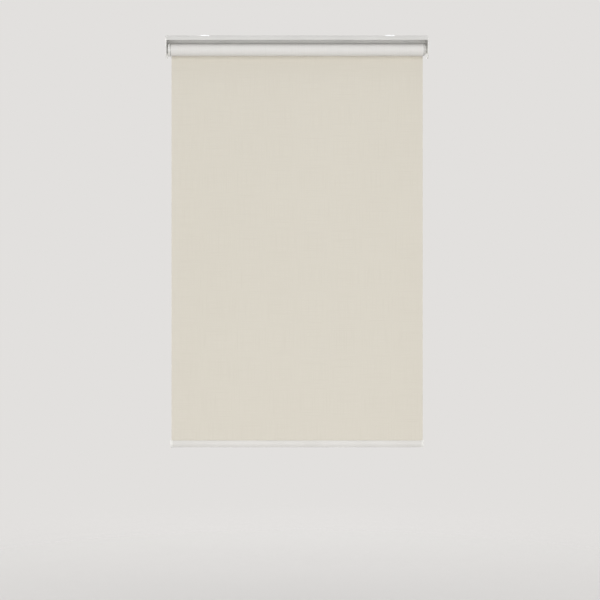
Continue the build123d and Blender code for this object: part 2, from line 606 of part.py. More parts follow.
# Spring anchor: a hexagonal collar that can't turn on the rod, with a socket for the still leg
with BuildPart() as spring_anchor:
    with BuildSketch(roller_plane(ANCHOR_START)):
        RegularPolygon(
            SPRING_DIAMETER / 2 + LEG_HOLE / 2 + ANCHOR_WALL,
            6,
            major_radius=False,
            rotation=30,
        )
        Rectangle(ROD_SIZE + 2 * SEAT_CLEARANCE, ROD_SIZE + 2 * SEAT_CLEARANCE, mode=Mode.SUBTRACT)
    extrude(amount=ANCHOR_LENGTH)
    with BuildSketch(Plane(origin=STILL_LEG, x_dir=(0, 1, 0), z_dir=(1, 0, 0))):
        Rectangle(LEG_HOLE, LEG_HOLE)
    extrude(amount=SPRING_GAP + SPRING_LEG + LEG_CLEARANCE, mode=Mode.SUBTRACT)
spring_anchor.part.label = "spring_anchor"
export_step(spring_anchor.part, "parts/spring_anchor.step")

# Rod support: keyed in the tube, it turns on the corners of the rod's free end
with BuildPart() as rod_support:
    with BuildSketch(roller_plane(SUPPORT_START)):
        KeyedHexagon()
        Circle(ROD_SIZE / sqrt(2) + RUNNING_CLEARANCE, mode=Mode.SUBTRACT)
    extrude(amount=SUPPORT_LENGTH)
rod_support.part.label = "rod_support"
export_step(rod_support.part, "parts/rod_support.step")

# Places of the sprung pin, from the middle outwards to the right bracket
COLLAR_STOP = PLUG_FACE - PIN_SHOULDER
PIN_COLLAR_OUTER = COLLAR_STOP - PIN_STOP_PLAY
PIN_COLLAR_INNER = PIN_COLLAR_OUTER - PIN_COLLAR
PIN_TIP = BOSS_FACE + BOSS_SOCKET_DEPTH - PIN_END_PLAY
SEAT_END = PLUG_INNER_END + SEAT_LENGTH
PIN_WELL_RADIUS = PIN_COLLAR_DIAMETER / 2 + PIN_COLLAR_CLEARANCE

# Idle plug: a tapered nose outside the tube and a keyed barrel in it, bored for the pin and its spring
with BuildPart() as idle_plug:
    with BuildSketch(TURNING_PLANE):
        with BuildLine():
            Polyline(
                (TUBE_END, 0),
                (TUBE_END, TUBE_RADIUS + DOME_PROUD),
                (TUBE_END + DOME_RIM, TUBE_RADIUS + DOME_PROUD),
                (PLUG_FACE, DOME_NOSE_DIAMETER / 2),
                (PLUG_FACE, 0),
                close=True,
            )
        make_face()
    revolve(axis=ROLLER_AXIS)
    with BuildSketch(roller_plane(TUBE_END)):
        KeyedHexagon()
    extrude(amount=-PLUG_BARREL)
    with BuildSketch(TURNING_PLANE):
        TurnedProfile(
            [
                (PLUG_INNER_END, COLLAR_STOP, PIN_WELL_RADIUS),
                (COLLAR_STOP, PLUG_FACE, PIN_DIAMETER / 2 + RUNNING_CLEARANCE),
            ]
        )
    revolve(axis=ROLLER_AXIS, mode=Mode.SUBTRACT)
idle_plug.part.label = "idle_plug"
export_step(idle_plug.part, "parts/idle_plug.step")

# Idle pin: its tip turns in the right bracket, its hexagonal collar stops in the plug
with BuildPart() as idle_pin:
    with BuildSketch(roller_plane(PIN_COLLAR_INNER)):
        RegularPolygon(PIN_COLLAR_DIAMETER / 2, 6)
    extrude(amount=PIN_COLLAR)
    with BuildSketch(roller_plane(PIN_COLLAR_OUTER)):
        Circle(PIN_DIAMETER / 2)
    extrude(amount=PIN_TIP - PIN_COLLAR_OUTER)
idle_pin.part.label = "idle_pin"
export_step(idle_pin.part, "parts/idle_pin.step")

# Spring seat: a hexagonal stopper pressed into the inner end of the plug
with BuildPart() as spring_seat:
    with BuildSketch(roller_plane(PLUG_INNER_END)):
        RegularPolygon(PIN_WELL_RADIUS - SEAT_CLEARANCE, 6)
    extrude(amount=SEAT_LENGTH)
spring_seat.part.label = "spring_seat"
export_step(spring_seat.part, "parts/spring_seat.step")

# Pin spring: a short compression coil between the seat and the collar
COIL_START = SEAT_END + COIL_SEAT + COIL_WIRE
COIL_END = PIN_COLLAR_INNER - COIL_SEAT - COIL_WIRE

with BuildLine() as coil_path:
    Polyline(*coil_points(COIL_START, COIL_END, COIL_TURNS, COIL_DIAMETER / 2))

with BuildPart() as pin_spring:
    with BuildSketch(Plane(origin=coil_path.line @ 0, x_dir=(1, 0, 0), z_dir=coil_path.line % 0)):
        Rectangle(COIL_WIRE, COIL_WIRE)
    sweep(path=coil_path.line, transition=Transition.RIGHT)
pin_spring.part.label = "pin_spring"
export_step(pin_spring.part, "parts/pin_spring.step")
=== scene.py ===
"""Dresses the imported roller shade: cloth, extrusions, mouldings and spring motor, in soft studio light.

Sizes are in metres, in the part's own frame: X along the roller, -Y to the front and +Z up.
"""

import logging
from dataclasses import dataclass, replace
from enum import Enum
from math import pi, radians
from typing import Any

import bmesh
import bpy
from bpy.types import Material, Node, NodeSocket, NodeTree, Object
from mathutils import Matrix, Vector

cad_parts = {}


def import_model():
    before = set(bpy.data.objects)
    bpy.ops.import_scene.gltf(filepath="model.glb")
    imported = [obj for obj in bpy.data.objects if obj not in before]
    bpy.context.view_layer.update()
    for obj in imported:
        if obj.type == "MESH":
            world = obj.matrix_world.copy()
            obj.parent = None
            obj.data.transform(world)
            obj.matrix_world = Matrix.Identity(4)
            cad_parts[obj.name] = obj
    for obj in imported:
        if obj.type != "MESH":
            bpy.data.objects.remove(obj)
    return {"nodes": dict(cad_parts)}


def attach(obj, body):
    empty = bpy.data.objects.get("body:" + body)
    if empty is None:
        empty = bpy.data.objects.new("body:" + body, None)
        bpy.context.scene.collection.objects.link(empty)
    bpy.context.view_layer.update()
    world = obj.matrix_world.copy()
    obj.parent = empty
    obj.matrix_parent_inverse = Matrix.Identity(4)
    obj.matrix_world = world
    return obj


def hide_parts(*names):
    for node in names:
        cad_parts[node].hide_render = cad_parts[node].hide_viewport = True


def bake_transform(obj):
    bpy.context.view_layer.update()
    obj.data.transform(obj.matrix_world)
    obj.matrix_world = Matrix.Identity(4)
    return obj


LOG = logging.getLogger("roller_shade")
MM = 0.001
ALONG_X = (pi / 2, 0.0, pi / 2)  # turns local X, Y and Z to the part's Y, Z and X
AXIS_HEIGHT = -47.5 * MM  # of the roller
ROLL_RADIUS = 21.425 * MM  # to the middle of the outermost cloth
CLOTH_WIDTH = 878.0 * MM
CLOTH_THICKNESS = 0.4 * MM
MERGE_WITHIN = 0.002 * MM  # distance at which two points of a solid's mesh become one
FLAT_WITHIN = radians(0.6)  # angle up to which two faces become one flat face
EASED_FROM = radians(28)  # angle from which an edge is eased
SMOOTH_BELOW = radians(32)  # angle up to which two faces are shaded as one
NOISE_LOW = 0.3  # most of a noise lies between this value and the next
NOISE_HIGH = 0.7


class Body(Enum):
    """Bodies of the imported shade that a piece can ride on."""

    FRAME = "frame"
    ROLLER = "roller"
    HEM = "hem"
    PIN = "idle_pin"


class Side(Enum):
    """Ends of the shade, as seen from the front, with the sign of their X."""

    LEFT = -1
    RIGHT = 1


class Lay(Enum):
    """How a cloth lies, with the coordinates that its weave follows."""

    FLAT = "Object"
    WOUND = "UV"


class Socket(Enum):
    """Kinds of input that a geometry tree takes."""

    FLOAT = "NodeSocketFloat"
    COUNT = "NodeSocketInt"
    PLACE = "NodeSocketVector"
    MATERIAL = "NodeSocketMaterial"


def linear(colour: str) -> tuple[float, float, float, float]:
    """Turns an sRGB hex colour to the linear values that a shader takes.

    Args:
        colour: Six hex digits after a hash.

    Returns:
        Red, green, blue and an alpha of 1.
    """
    values = [int(colour[i : i + 2], 16) / 255 for i in (1, 3, 5)]
    bent = [v / 12.92 if v <= 0.04045 else ((v + 0.055) / 1.055) ** 2.4 for v in values]
    return (bent[0], bent[1], bent[2], 1.0)


def add_node(tree: NodeTree, kind: str, inputs: dict[Any, Any] | None = None, **settings: Any) -> Node:
    """Adds one node with its settings, values and links.

    Args:
        tree: The tree that takes the node.
        kind: Type of the node.
        inputs: Values, or sockets to link from, by input name or number. A list links several sockets
            to one input.
        **settings: Properties of the node itself.

    Returns:
        The new node.
    """
    node = tree.nodes.new(kind)
    for key, value in settings.items():
        setattr(node, key, value)
    for key, value in (inputs or {}).items():
        if isinstance(value, (NodeSocket, list)):
            for source in value if isinstance(value, list) else [value]:
                tree.links.new(source, node.inputs[key])
        else:
            node.inputs[key].default_value = value
    return node


@dataclass(frozen=True)
class Finish:
    """A surface finish: what is the same all over it, and the real size of its grain."""

    name: str
    colour: str
    shade: str
    roughness: float
    grain: float
    metallic: float = 0.0
    ior: float = 1.5

    def material(self) -> Material:
        """Makes the material, or finds the one already made.

        Returns:
            The material.
        """
        found = bpy.data.materials.get(self.name)
        if found:
            return found
        made = bpy.data.materials.new(self.name)
        made.use_nodes = True
        tree = made.node_tree
        shader = tree.nodes["Principled BSDF"]
        shader.inputs["Metallic"].default_value = self.metallic
        shader.inputs["Roughness"].default_value = self.roughness
        shader.inputs["IOR"].default_value = self.ior
        self.pattern(tree, shader)
        return made

    def pattern(self, tree: NodeTree, shader: Node) -> None:
        """Adds the surface's own pattern.

        Args:
            tree: The material's tree.
            shader: Its main shader.
        """
        raise NotImplementedError

    def tint(self, tree: NodeTree, shader: Node, share: NodeSocket) -> None:
        """Lets the colour drift towards its darker shade.

        Args:
            tree: The material's tree.
            shader: Its main shader.
            share: How much of the darker shade shows.
        """
        inputs = {0: share, 6: linear(self.colour), 7: linear(self.shade)}
        mixed = add_node(tree, "ShaderNodeMix", inputs, data_type="RGBA")
        tree.links.new(mixed.outputs[2], shader.inputs["Base Color"])

    def tone(
        self, tree: NodeTree, shader: Node, noise: NodeSocket, span: tuple[float, float], most: float
    ) -> None:
        """Lets a noise carry the colour towards its darker shade.

        Args:
            tree: The material's tree.
            shader: Its main shader.
            noise: The noise that it follows.
            span: Values of the noise at which the darker shade starts to show, and shows most.
            most: How much of it shows then.
        """
        share = add_node(tree, "ShaderNodeMapRange", {0: noise, 1: span[0], 2: span[1], 4: most})
        self.tint(tree, shader, share.outputs[0])

    def relief(
        self, tree: NodeTree, shader: Node, height: NodeSocket, depth: float, strength: float
    ) -> None:
        """Raises a fine relief.

        Args:
            tree: The material's tree.
            shader: Its main shader.
            height: Relief from 0 to 1.
            depth: What 1 stands for, in metres.
            strength: Share of the relief that shows.
        """
        inputs = {"Height": height, "Distance": depth, "Strength": strength}
        bump = add_node(tree, "ShaderNodeBump", inputs)
        tree.links.new(bump.outputs["Normal"], shader.inputs["Normal"])

    def gloss(self, tree: NodeTree, shader: Node, noise: NodeSocket, spread: float) -> None:
        """Lets the roughness vary about its usual value.

        Args:
            tree: The material's tree.
            shader: Its main shader.
            noise: The noise that it follows.
            spread: How far the roughness goes to either side.
        """
        inputs = {
            0: noise,
            1: NOISE_LOW,
            2: NOISE_HIGH,
            3: self.roughness - spread,
            4: self.roughness + spread,
        }
        varied = add_node(tree, "ShaderNodeMapRange", inputs)
        tree.links.new(varied.outputs[0], shader.inputs["Roughness"])


@dataclass(frozen=True)
class PowderCoat(Finish):
    """Powder coat baked on extruded aluminium: an even satin white with a faint orange peel."""

    peel_depth: float = 0.05 * MM
    peel_strength: float = 0.25
    gloss_spread: float = 0.06
    drift_length: float = 111.1 * MM
    drift_span: tuple[float, float] = (0.35, 0.75)
    drift_share: float = 0.6

    def pattern(self, tree: NodeTree, shader: Node) -> None:
        """Adds orange peel, and a slow drift of tone along the extrusion.

        Args:
            tree: The material's tree.
            shader: Its main shader.
        """
        place = add_node(tree, "ShaderNodeTexCoord").outputs["Object"]
        bumps = {"Vector": place, "Scale": 1 / self.grain, "Detail": 2.0}
        peel = add_node(tree, "ShaderNodeTexNoise", bumps).outputs["Fac"]
        self.relief(tree, shader, peel, self.peel_depth, self.peel_strength)
        self.gloss(tree, shader, peel, self.gloss_spread)
        tones = {"Vector": place, "Scale": 1 / self.drift_length, "Detail": 3.0}
        drift = add_node(tree, "ShaderNodeTexNoise", tones).outputs["Fac"]
        self.tone(tree, shader, drift, self.drift_span, self.drift_share)


@dataclass(frozen=True)
class Moulding(Finish):
    """Injection moulded plastic: a matt spark grain and flow marks that only just show."""

    grain_depth: float = 0.03 * MM
    grain_strength: float = 0.3
    gloss_spread: float = 0.05
    flow_length: float = 16.667 * MM
    flow_bend: float = 1.2
    flow_span: tuple[float, float] = (0.4, 0.8)
    flow_share: float = 0.35

    def pattern(self, tree: NodeTree, shader: Node) -> None:
        """Adds the mould's grain and faint flow marks.

        Args:
            tree: The material's tree.
            shader: Its main shader.
        """
        place = add_node(tree, "ShaderNodeTexCoord").outputs["Object"]
        grain = add_node(tree, "ShaderNodeTexVoronoi", {"Vector": place, "Scale": 1 / self.grain})
        self.relief(tree, shader, grain.outputs["Distance"], self.grain_depth, self.grain_strength)
        marks = {
            "Vector": place,
            "Scale": 1 / self.flow_length,
            "Detail": 4.0,
            "Distortion": self.flow_bend,
        }
        flow = add_node(tree, "ShaderNodeTexNoise", marks).outputs["Fac"]
        self.gloss(tree, shader, flow, self.gloss_spread)
        self.tone(tree, shader, flow, self.flow_span, self.flow_share)


@dataclass(frozen=True)
class DrawnMetal(Finish):
    """Bare metal with fine lines along X, left by the extrusion die or by drawing."""

    line_length: float = 250.0 * MM
    line_depth: float = 0.02 * MM
    line_strength: float = 0.35
    line_span: tuple[float, float] = (0.4, 0.7)
    line_share: float = 0.7
    gloss_spread: float = 0.09

    def pattern(self, tree: NodeTree, shader: Node) -> None:
        """Adds the long lines and the change of gloss that they give.

        Args:
            tree: The material's tree.
            shader: Its main shader.
        """
        place = add_node(tree, "ShaderNodeTexCoord").outputs["Object"]
        stretch = (1 / self.line_length, 1 / self.grain, 1 / self.grain)
        drawn = add_node(tree, "ShaderNodeMapping", {"Vector": place, "Scale": stretch})
        noise = {"Vector": drawn.outputs[0], "Scale": 1.0, "Detail": 3.0}
        lines = add_node(tree, "ShaderNodeTexNoise", noise).outputs["Fac"]
        self.relief(tree, shader, lines, self.line_depth, self.line_strength)
        self.gloss(tree, shader, lines, self.gloss_spread)
        self.tone(tree, shader, lines, self.line_span, self.line_share)


@dataclass(frozen=True)
class ZincPlate(Finish):
    """Bright zinc on steel: cool and cloudy, with a faint spangle."""

    cloud_length: float = 8.333 * MM
    gloss_spread: float = 0.1

    def pattern(self, tree: NodeTree, shader: Node) -> None:
        """Adds the spangle's patches and the clouding over them.

        Args:
            tree: The material's tree.
            shader: Its main shader.
        """
        place = add_node(tree, "ShaderNodeTexCoord").outputs["Object"]
        spangle = add_node(tree, "ShaderNodeTexVoronoi", {"Vector": place, "Scale": 1 / self.grain})
        noise = {"Vector": place, "Scale": 1 / self.cloud_length, "Detail": 4.0}
        cloud = add_node(tree, "ShaderNodeTexNoise", noise).outputs["Fac"]
        both = {0: spangle.outputs["Distance"], 1: cloud}
        share = add_node(tree, "ShaderNodeMath", both, operation="MULTIPLY")
        self.tint(tree, shader, share.outputs[0])
        self.gloss(tree, shader, cloud, self.gloss_spread)


@dataclass(frozen=True)
class WovenCloth(Finish):
    """Plain woven polyester, dense and matt, with slubs that thicken single threads here and there.

    The real threads lie about half a millimetre apart, too fine for a picture of the whole shade, so
    they are drawn at twice that.
    """

    lay: Lay = Lay.FLAT
    sheen: float = 0.06
    sheen_roughness: float = 0.6
    slub_length: float = 111.1 * MM
    slub_thickness: float = 1.923 * MM
    slub_span: tuple[float, float] = (0.45, 0.8)
    slub_share: float = 0.45
    slub_height: float = 0.5
    weave_share: float = 0.3
    drift_length: float = 454.5 * MM
    drift_share: float = 0.3
    thread_depth: float = 0.1 * MM
    thread_strength: float = 0.3

    def pattern(self, tree: NodeTree, shader: Node) -> None:
        """Adds the plain weave, its slubs and a slow change of tone.

        Args:
            tree: The material's tree.
            shader: Its main shader.
        """
        shader.inputs["Sheen Weight"].default_value = self.sheen
        shader.inputs["Sheen Roughness"].default_value = self.sheen_roughness
        source = add_node(tree, "ShaderNodeTexCoord").outputs[self.lay.value]
        axes = add_node(tree, "ShaderNodeSeparateXYZ", {0: source})
        weft = axes.outputs["X"]
        warp = axes.outputs["Z" if self.lay is Lay.FLAT else "Y"]
        place = add_node(tree, "ShaderNodeCombineXYZ", {"X": weft, "Z": warp}).outputs[0]
        weave = self.weave(tree, weft, warp)
        slubs = self.slubs(tree, place)
        tones = {"Vector": place, "Scale": 1 / self.drift_length, "Detail": 2.0}
        drift = add_node(tree, "ShaderNodeTexNoise", tones).outputs["Fac"]
        toned = add_node(tree, "ShaderNodeMath", {0: drift, 1: self.drift_share}, operation="MULTIPLY")
        mottle = {0: slubs, 1: self.slub_share, 2: toned.outputs[0]}
        mottled = add_node(tree, "ShaderNodeMath", mottle, operation="MULTIPLY_ADD")
        crossed = {0: weave, 1: self.weave_share, 2: mottled.outputs[0]}
        share = add_node(tree, "ShaderNodeMath", crossed, operation="MULTIPLY_ADD", use_clamp=True)
        self.tint(tree, shader, share.outputs[0])
        raised = {0: slubs, 1: self.slub_height, 2: weave}
        height = add_node(tree, "ShaderNodeMath", raised, operation="MULTIPLY_ADD")
        self.relief(tree, shader, height.outputs[0], self.thread_depth, self.thread_strength)

    def weave(self, tree: NodeTree, weft: NodeSocket, warp: NodeSocket) -> NodeSocket:
        """Crosses the two sets of threads.

        Args:
            tree: The material's tree.
            weft: Place across the cloth.
            warp: Place along it.

        Returns:
            Height of the weave, from 0 to 1.
        """
        waves = []
        for thread in (weft, warp):
            spaced = {0: thread, 1: pi / self.grain}
            turn = add_node(tree, "ShaderNodeMath", spaced, operation="MULTIPLY")
            wave = add_node(tree, "ShaderNodeMath", {0: turn.outputs[0]}, operation="SINE")
            waves.append(wave.outputs[0])
        crossing = add_node(tree, "ShaderNodeMath", {0: waves[0], 1: waves[1]}, operation="MULTIPLY")
        return add_node(tree, "ShaderNodeMapRange", {0: crossing.outputs[0], 1: -1.0}).outputs[0]

    def slubs(self, tree: NodeTree, place: NodeSocket) -> NodeSocket:
        """Thickens single threads of both sets here and there.

        Args:
            tree: The material's tree.
            place: Place on the cloth.

        Returns:
            Thickness of the slub, from 0 to 1.
        """
        along = 1 / self.slub_length
        across = 1 / self.slub_thickness
        sets = []
        for scale in ((along, 1.0, across), (across, 1.0, along)):
            drawn = add_node(tree, "ShaderNodeMapping", {"Vector": place, "Scale": scale})
            noise = {"Vector": drawn.outputs[0], "Scale": 1.0, "Detail": 2.0}
            slub = add_node(tree, "ShaderNodeTexNoise", noise).outputs["Fac"]
            thick = {0: slub, 1: self.slub_span[0], 2: self.slub_span[1]}
            sets.append(add_node(tree, "ShaderNodeMapRange", thick).outputs[0])
        return add_node(tree, "ShaderNodeMath", {0: sets[0], 1: sets[1]}, operation="MAXIMUM").outputs[0]


# Coat on the headrail: a cool satin white, drawn a little darker than the mouldings beside it and than
# the same coat on the hem bar; that extra darkness is painted shade.
RAIL_WHITE_PAINTED_SHADE = PowderCoat("powder_coated_aluminium_rail", "#d3d2cf", "#c9c8c5", 0.44, 1.4 * MM)
# The same coat on the hem bar, lighter and warmer.
HEM_WHITE = PowderCoat("powder_coated_aluminium_hem", "#dad8d4", "#d0cec9", 0.48, 1.4 * MM)
# ABS from the mould: clean white with soft highlights.
ABS_WHITE = Moulding("moulded_abs_white", "#e4e3df", "#d8d7d3", 0.44, 0.8 * MM, ior=1.54)
# Acetal from the mould: a waxy mid grey.
ACETAL_GREY = Moulding("moulded_acetal_grey", "#8b8d8f", "#797b7e", 0.40, 0.8 * MM, ior=1.48)
# Extruded PVC: smooth off-white with a slight gloss.
PVC_STRIP = Moulding("extruded_pvc_strip", "#d9d8d2", "#cccbc4", 0.35, 1.5 * MM, ior=1.53)
# Aluminium as it leaves the die, with long fine lines; its grey is drawn much darker than the bare metal,
# as painted shade in the narrow gaps at the roll's ends where the tube shows.
MILL_ALUMINIUM_PAINTED_SHADE = DrawnMetal("mill_finish_aluminium", "#8c8e91", "#6f7174", 0.38, 0.5 * MM, 1.0)
# Drawn wire under a film of oil: dark and smooth.
SPRING_STEEL = DrawnMetal("oiled_spring_steel", "#5d5f62", "#44464a", 0.34, 0.4 * MM, 1.0)
# Zinc over pressed steel: cool and a little cloudy; its grey is drawn darker than bright zinc, as painted
# shade that keeps the clips above the headrail dark.
ZINC_STEEL_PAINTED_SHADE = ZincPlate("zinc_plated_steel", "#8b8f93", "#70767b", 0.52, 3.0 * MM, 1.0)
# The cloth's face: a dry matt beige.
BEIGE_FLAT = WovenCloth("woven_polyester_beige", "#ddd8cc", "#d2ccbf", 0.90, 1.0 * MM)
# Its coated back: a smoother white with hardly any sheen.
WHITE_FLAT = WovenCloth("coated_polyester_white", "#e4e2df", "#d9d7d3", 0.72, 1.0 * MM, sheen=0.02)
# Both sides again on the roll, where the weave follows the turns.
BEIGE_WOUND = replace(BEIGE_FLAT, name="wound_polyester_beige", lay=Lay.WOUND)
WHITE_WOUND = replace(WHITE_FLAT, name="wound_polyester_white", lay=Lay.WOUND)


def empty_piece(name: str) -> Object:
    """Adds an object with an empty mesh, at the origin.

    Args:
        name: Name of the piece.

    Returns:
        The object.
    """
    piece = bpy.data.objects.new(name, bpy.data.meshes.new(name))
    bpy.context.scene.collection.objects.link(piece)
    return piece


def plain_mesh(piece: Object) -> None:
    """Turns a piece and its modifiers into one plain mesh.

    Args:
        piece: The piece, with its modifiers.
    """
    graph = bpy.context.evaluated_depsgraph_get()
    mesh = bpy.data.meshes.new_from_object(piece.evaluated_get(graph))
    piece.modifiers.clear()
    piece.data = mesh
    mesh.name = piece.name


def settle(piece: Object) -> Object:
    """Finishes a piece as a plain mesh, smooth on its round faces and even on its flat ones.

    Args:
        piece: The piece, with its modifiers.

    Returns:
        The same object.
    """
    plain_mesh(piece)
    piece.data.shade_smooth()
    piece.data.set_sharp_from_angle(angle=SMOOTH_BELOW)
    even = piece.modifiers.new("even shading", "WEIGHTED_NORMAL")
    even.keep_sharp = True
    plain_mesh(piece)
    return piece


def eased_copy(node: Object, name: str, finish: Finish, radius: float, steps: int = 3) -> Object:
    """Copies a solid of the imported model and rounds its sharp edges.

    Args:
        node: The solid's object, which is left as it is.
        name: Name of the new piece.
        finish: What the piece is made of.
        radius: Size of the rounding, in metres, less than half of the thinnest wall.
        steps: Facets across a rounded edge.

    Returns:
        The rounded piece.
    """
    piece = empty_piece(name)
    shape = bmesh.new()
    shape.from_mesh(node.data)
    bmesh.ops.remove_doubles(shape, verts=shape.verts[:], dist=MERGE_WITHIN)
    bmesh.ops.dissolve_limit(
        shape, angle_limit=FLAT_WITHIN, verts=shape.verts[:], edges=shape.edges[:]
    )
    shape.to_mesh(piece.data)
    shape.free()
    for layer in ("custom_normal", "sharp_edge", "sharp_face"):
        if layer in piece.data.attributes:
            piece.data.attributes.remove(piece.data.attributes[layer])
    piece.data.materials.clear()
    piece.data.materials.append(finish.material())
    bevel = piece.modifiers.new("eased edges", "BEVEL")
    bevel.width = radius
    bevel.segments = steps
    bevel.limit_method = "ANGLE"
    bevel.angle_limit = EASED_FROM
    bevel.use_clamp_overlap = False  # it would cut the whole piece down to its tightest spot
    return settle(piece)


def new_tree(name: str, inputs: dict[str, Socket]) -> tuple[NodeTree, Any]:
    """Starts a geometry tree with named inputs.

    Args:
        name: Name of the tree.
        inputs: Kind of each input, by its name.

    Returns:
        The tree, and its inputs as sockets to link from.
    """
    tree = bpy.data.node_groups.new(name, "GeometryNodeTree")
    for label, kind in inputs.items():
        tree.interface.new_socket(label, in_out="INPUT", socket_type=kind.value)
    tree.interface.new_socket("Geometry", in_out="OUTPUT", socket_type="NodeSocketGeometry")
    return tree, add_node(tree, "NodeGroupInput").outputs


def grown(name: str, tree: NodeTree, shape: NodeSocket, values: dict[str, Any]) -> Object:
    """Ends a geometry tree, grows a piece from it and leaves that as a plain mesh.

    Args:
        name: Name of the piece.
        tree: The tree.
        shape: Its finished geometry, with the material set.
        values: Value of each of the tree's inputs, by its name.

    Returns:
        The piece.
    """
    real = add_node(tree, "GeometryNodeRealizeInstances", {0: shape})
    add_node(tree, "NodeGroupOutput", {0: real.outputs[0]})
    piece = empty_piece(name)
    modifier = piece.modifiers.new(tree.name, "NODES")
    modifier.node_group = tree
    for item in tree.interface.items_tree:
        if item.name in values:
            modifier[item.identifier] = values[item.name]
    return settle(piece)


def stand_for(piece: Object, body: Body, slot: str, *nodes: str) -> None:
    """Lets a piece ride on a body in place of its solids.

    Args:
        piece: The finished piece.
        body: The body that carries it.
        slot: Not used.
        *nodes: Solids that it stands for.
    """
    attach(piece, body.value)
    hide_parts(*nodes)
    LOG.info("%s rides on %s, %d faces", piece.name, body.value, len(piece.data.polygons))


def dress(node: Object, finish: Finish) -> None:
    """Gives a solid that stays as it is its finish.

    Args:
        node: The solid's object.
        finish: What it is made of.
    """
    node.data.materials.clear()
    node.data.materials.append(finish.material())
    LOG.info("%s keeps its solid", node.name)


